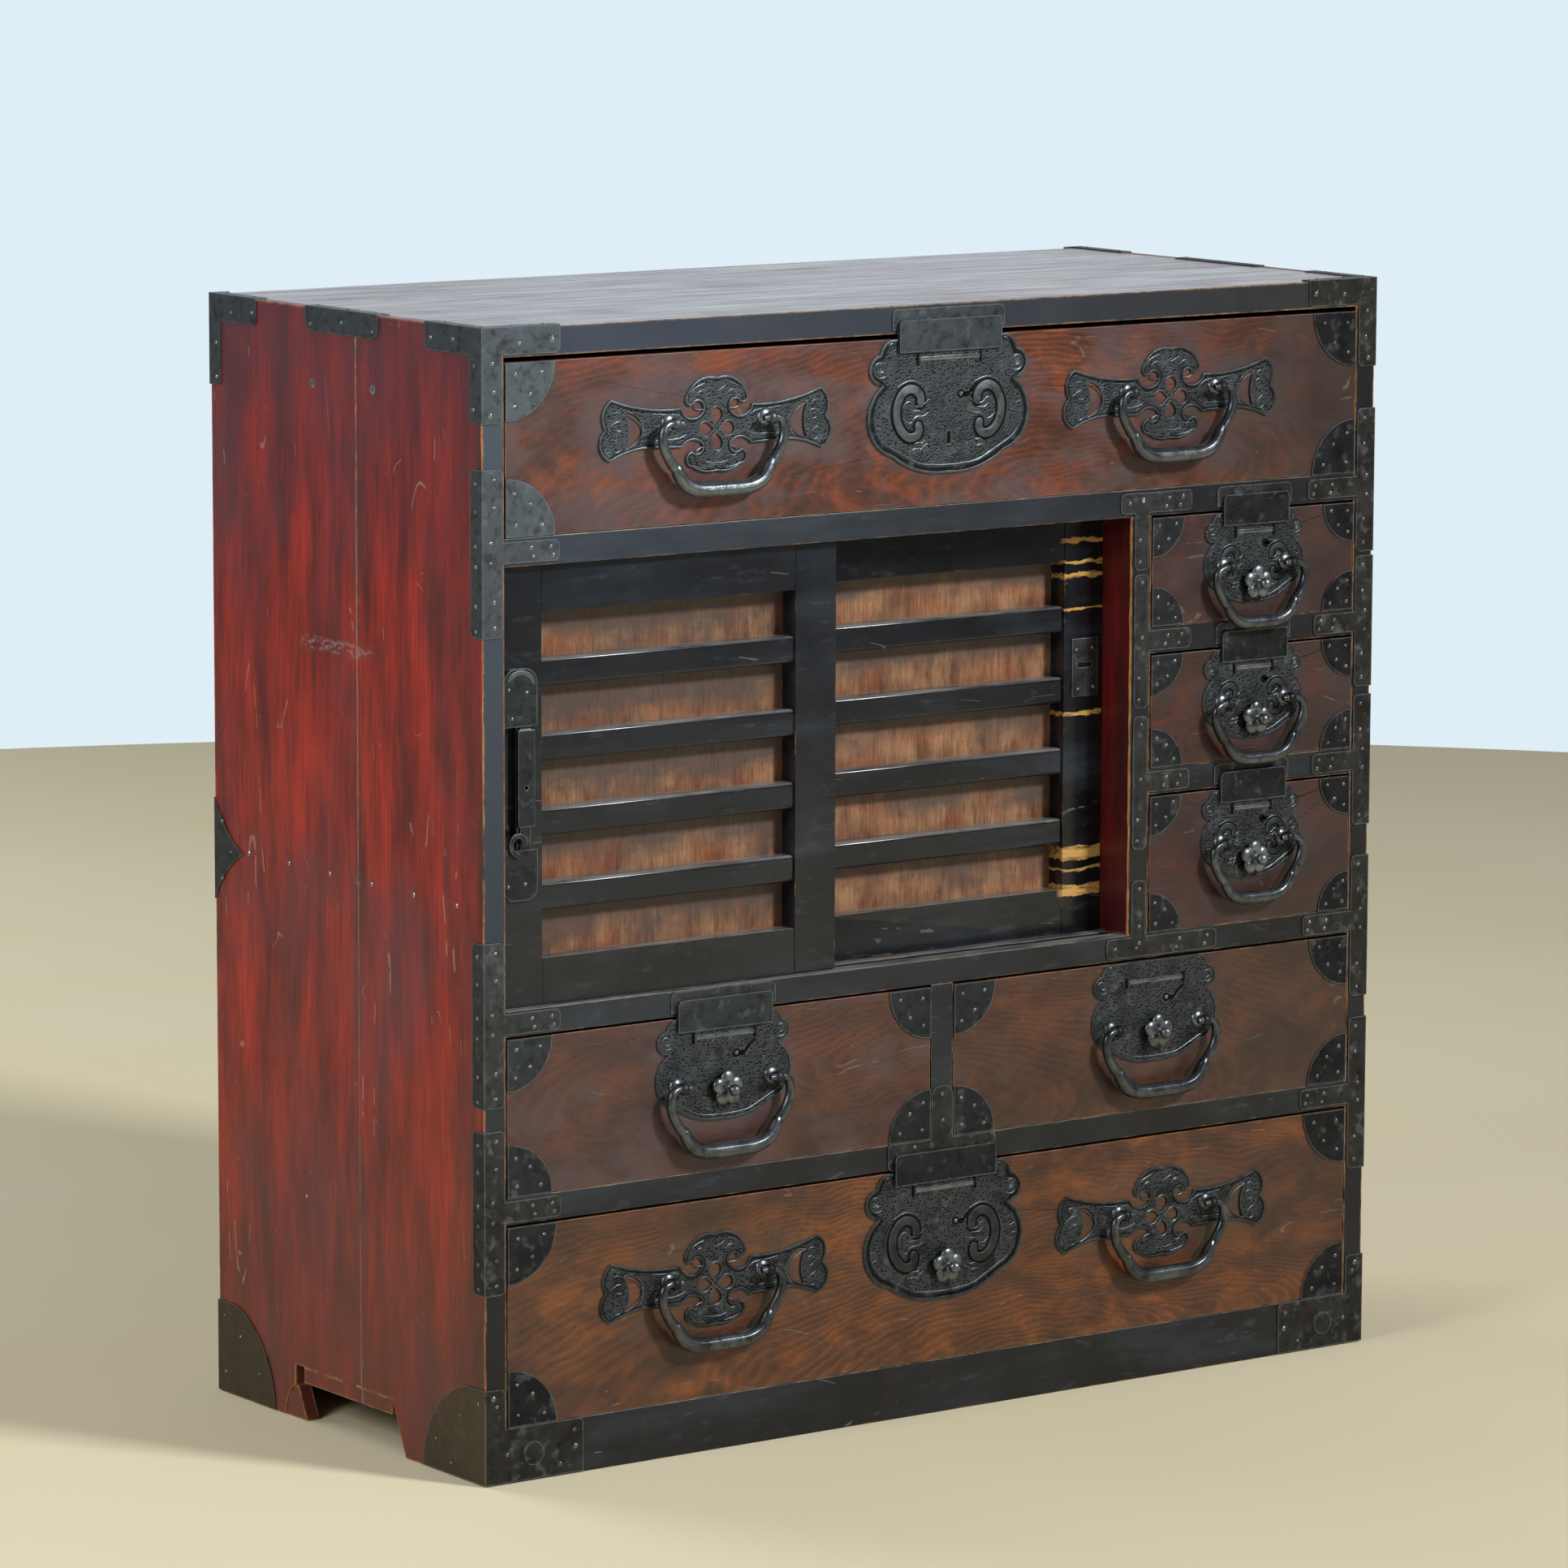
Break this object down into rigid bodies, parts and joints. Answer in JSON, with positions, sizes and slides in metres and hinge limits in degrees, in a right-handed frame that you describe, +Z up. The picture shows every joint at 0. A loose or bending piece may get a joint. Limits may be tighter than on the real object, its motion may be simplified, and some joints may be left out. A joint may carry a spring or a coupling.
{
  "type": "clothing chest",
  "caption": "Lacquered Japanese clothing chest with drawers, sliding cupboard doors and forged iron locks, straps and bail handles.",
  "frame": {"origin": "on the floor under the middle of the whole outline, handles included", "axes": "+Z up, the front with the drawers faces -Y, +X to the right seen from the front"},
  "size_m": [0.9024, 0.4287, 0.9202],
  "materials": {
    "red_lacquer": "worn red-brown lacquer, glossy",
    "black_lacquer": "worn black lacquer, glossy",
    "grained_front": "wiped lacquer over open grain",
    "plain_wood": "planed, unfinished",
    "door_panel": "clear lacquer over fine grain",
    "forged_iron": "forged sheet, blackened and rubbed",
    "bail_iron": "forged bar, polished by hands"
  },
  "bodies": {
    "carcase": {"left_side_boards": "red_lacquer", "right_side_boards": "red_lacquer", "top_board": "red_lacquer", "bottom_board": "plain_wood", "back_boards": "plain_wood", "cross_rails": "black_lacquer", "partition_board": "red_lacquer", "half_drawer_divider": "black_lacquer", "dust_boards": "plain_wood", "cupboard_shelf": "plain_wood", "foot_battens": "red_lacquer", "corner_brackets": "forged_iron", "edge_straps": "forged_iron", "strike_plates": "forged_iron", "carcase_nails": "forged_iron"},
    "top_drawer": {"top_drawer_front": "grained_front", "top_drawer_box": "plain_wood", "top_drawer_iron": "forged_iron"},
    "top_left_bail": {"top_left_bail": "bail_iron"},
    "top_right_bail": {"top_right_bail": "bail_iron"},
    "left_half_drawer": {"left_half_drawer_front": "grained_front", "left_half_drawer_box": "plain_wood", "left_half_drawer_iron": "forged_iron"},
    "left_half_bail": {"left_half_bail": "bail_iron"},
    "left_half_knob": {"left_half_knob": "bail_iron"},
    "right_half_drawer": {"right_half_drawer_front": "grained_front", "right_half_drawer_box": "plain_wood", "right_half_drawer_iron": "forged_iron"},
    "right_half_bail": {"right_half_bail": "bail_iron"},
    "right_half_knob": {"right_half_knob": "bail_iron"},
    "bottom_drawer": {"bottom_drawer_front": "grained_front", "bottom_drawer_box": "plain_wood", "bottom_drawer_iron": "forged_iron"},
    "bottom_left_bail": {"bottom_left_bail": "bail_iron"},
    "bottom_right_bail": {"bottom_right_bail": "bail_iron"},
    "bottom_knob": {"bottom_knob": "bail_iron"},
    "upper_small_drawer": {"upper_small_drawer_front": "grained_front", "upper_small_drawer_box": "plain_wood", "upper_small_drawer_iron": "forged_iron"},
    "upper_small_bail": {"upper_small_bail": "bail_iron"},
    "upper_small_knob": {"upper_small_knob": "bail_iron"},
    "middle_small_drawer": {"middle_small_drawer_front": "grained_front", "middle_small_drawer_box": "plain_wood", "middle_small_drawer_iron": "forged_iron"},
    "middle_small_bail": {"middle_small_bail": "bail_iron"},
    "middle_small_knob": {"middle_small_knob": "bail_iron"},
    "lower_small_drawer": {"lower_small_drawer_front": "grained_front", "lower_small_drawer_box": "plain_wood", "lower_small_drawer_iron": "forged_iron"},
    "lower_small_bail": {"lower_small_bail": "bail_iron"},
    "lower_small_knob": {"lower_small_knob": "bail_iron"},
    "left_door": {"left_door_frame": "black_lacquer", "left_door_panel": "door_panel", "left_door_bars": "black_lacquer", "latch_plates": "forged_iron"},
    "right_door": {"right_door_frame": "black_lacquer", "right_door_panel": "door_panel", "right_door_bars": "black_lacquer", "catch_plate": "forged_iron"},
    "latch_bar": {"latch_bar": "forged_iron"}
  },
  "joints": [
    {"name": "top_drawer_slide", "type": "slide", "parent": "carcase", "child": "top_drawer", "axis": [0, -1, 0], "range_m": [0, 0.305]},
    {"name": "top_left_bail_swing", "type": "hinge", "parent": "top_drawer", "child": "top_left_bail", "pos_m": [-0.2295, -0.20435, 0.837], "axis": [-1, 0, 0], "range_deg": [0, 150]},
    {"name": "top_right_bail_swing", "type": "hinge", "parent": "top_drawer", "child": "top_right_bail", "pos_m": [0.2295, -0.20435, 0.837], "axis": [-1, 0, 0], "range_deg": [0, 150]},
    {"name": "left_half_drawer_slide", "type": "slide", "parent": "carcase", "child": "left_half_drawer", "axis": [0, -1, 0], "range_m": [0, 0.305]},
    {"name": "left_half_bail_swing", "type": "hinge", "parent": "left_half_drawer", "child": "left_half_bail", "pos_m": [-0.2215, -0.20435, 0.303], "axis": [-1, 0, 0], "range_deg": [0, 150]},
    {"name": "left_half_knob_turn", "type": "hinge", "parent": "left_half_drawer", "child": "left_half_knob", "pos_m": [-0.2215, -0.19435, 0.298], "axis": [0, -1, 0], "range_deg": [0, 90]},
    {"name": "right_half_drawer_slide", "type": "slide", "parent": "carcase", "child": "right_half_drawer", "axis": [0, -1, 0], "range_m": [0, 0.305]},
    {"name": "right_half_bail_swing", "type": "hinge", "parent": "right_half_drawer", "child": "right_half_bail", "pos_m": [0.2195, -0.20435, 0.303], "axis": [-1, 0, 0], "range_deg": [0, 150]},
    {"name": "right_half_knob_turn", "type": "hinge", "parent": "right_half_drawer", "child": "right_half_knob", "pos_m": [0.2195, -0.19435, 0.298], "axis": [0, -1, 0], "range_deg": [0, 90]},
    {"name": "bottom_drawer_slide", "type": "slide", "parent": "carcase", "child": "bottom_drawer", "axis": [0, -1, 0], "range_m": [0, 0.305]},
    {"name": "bottom_left_bail_swing", "type": "hinge", "parent": "bottom_drawer", "child": "bottom_left_bail", "pos_m": [-0.2295, -0.20435, 0.145], "axis": [-1, 0, 0], "range_deg": [0, 150]},
    {"name": "bottom_right_bail_swing", "type": "hinge", "parent": "bottom_drawer", "child": "bottom_right_bail", "pos_m": [0.2295, -0.20435, 0.145], "axis": [-1, 0, 0], "range_deg": [0, 150]},
    {"name": "bottom_knob_turn", "type": "hinge", "parent": "bottom_drawer", "child": "bottom_knob", "pos_m": [0, -0.19435, 0.125], "axis": [0, -1, 0], "range_deg": [0, 90]},
    {"name": "upper_small_drawer_slide", "type": "slide", "parent": "carcase", "child": "upper_small_drawer", "axis": [0, -1, 0], "range_m": [0, 0.305]},
    {"name": "upper_small_bail_swing", "type": "hinge", "parent": "upper_small_drawer", "child": "upper_small_bail", "pos_m": [0.321, -0.20435, 0.685], "axis": [-1, 0, 0], "range_deg": [0, 150]},
    {"name": "upper_small_knob_turn", "type": "hinge", "parent": "upper_small_drawer", "child": "upper_small_knob", "pos_m": [0.321, -0.19435, 0.67], "axis": [0, -1, 0], "range_deg": [0, 90]},
    {"name": "middle_small_drawer_slide", "type": "slide", "parent": "carcase", "child": "middle_small_drawer", "axis": [0, -1, 0], "range_m": [0, 0.305]},
    {"name": "middle_small_bail_swing", "type": "hinge", "parent": "middle_small_drawer", "child": "middle_small_bail", "pos_m": [0.321, -0.20435, 0.57], "axis": [-1, 0, 0], "range_deg": [0, 150]},
    {"name": "middle_small_knob_turn", "type": "hinge", "parent": "middle_small_drawer", "child": "middle_small_knob", "pos_m": [0.321, -0.19435, 0.555], "axis": [0, -1, 0], "range_deg": [0, 90]},
    {"name": "lower_small_drawer_slide", "type": "slide", "parent": "carcase", "child": "lower_small_drawer", "axis": [0, -1, 0], "range_m": [0, 0.305]},
    {"name": "lower_small_bail_swing", "type": "hinge", "parent": "lower_small_drawer", "child": "lower_small_bail", "pos_m": [0.321, -0.20435, 0.451], "axis": [-1, 0, 0], "range_deg": [0, 150]},
    {"name": "lower_small_knob_turn", "type": "hinge", "parent": "lower_small_drawer", "child": "lower_small_knob", "pos_m": [0.321, -0.19435, 0.436], "axis": [0, -1, 0], "range_deg": [0, 90]},
    {"name": "left_door_slide", "type": "slide", "parent": "carcase", "child": "left_door", "axis": [1, 0, 0], "range_m": [0, 0.295]},
    {"name": "right_door_slide", "type": "slide", "parent": "carcase", "child": "right_door", "axis": [-1, 0, 0], "range_m": [0, 0.295]},
    {"name": "latch_bar_slide", "type": "slide", "parent": "left_door", "child": "latch_bar", "axis": [0, 0, 1], "range_m": [0, 0.01]}
  ]
}
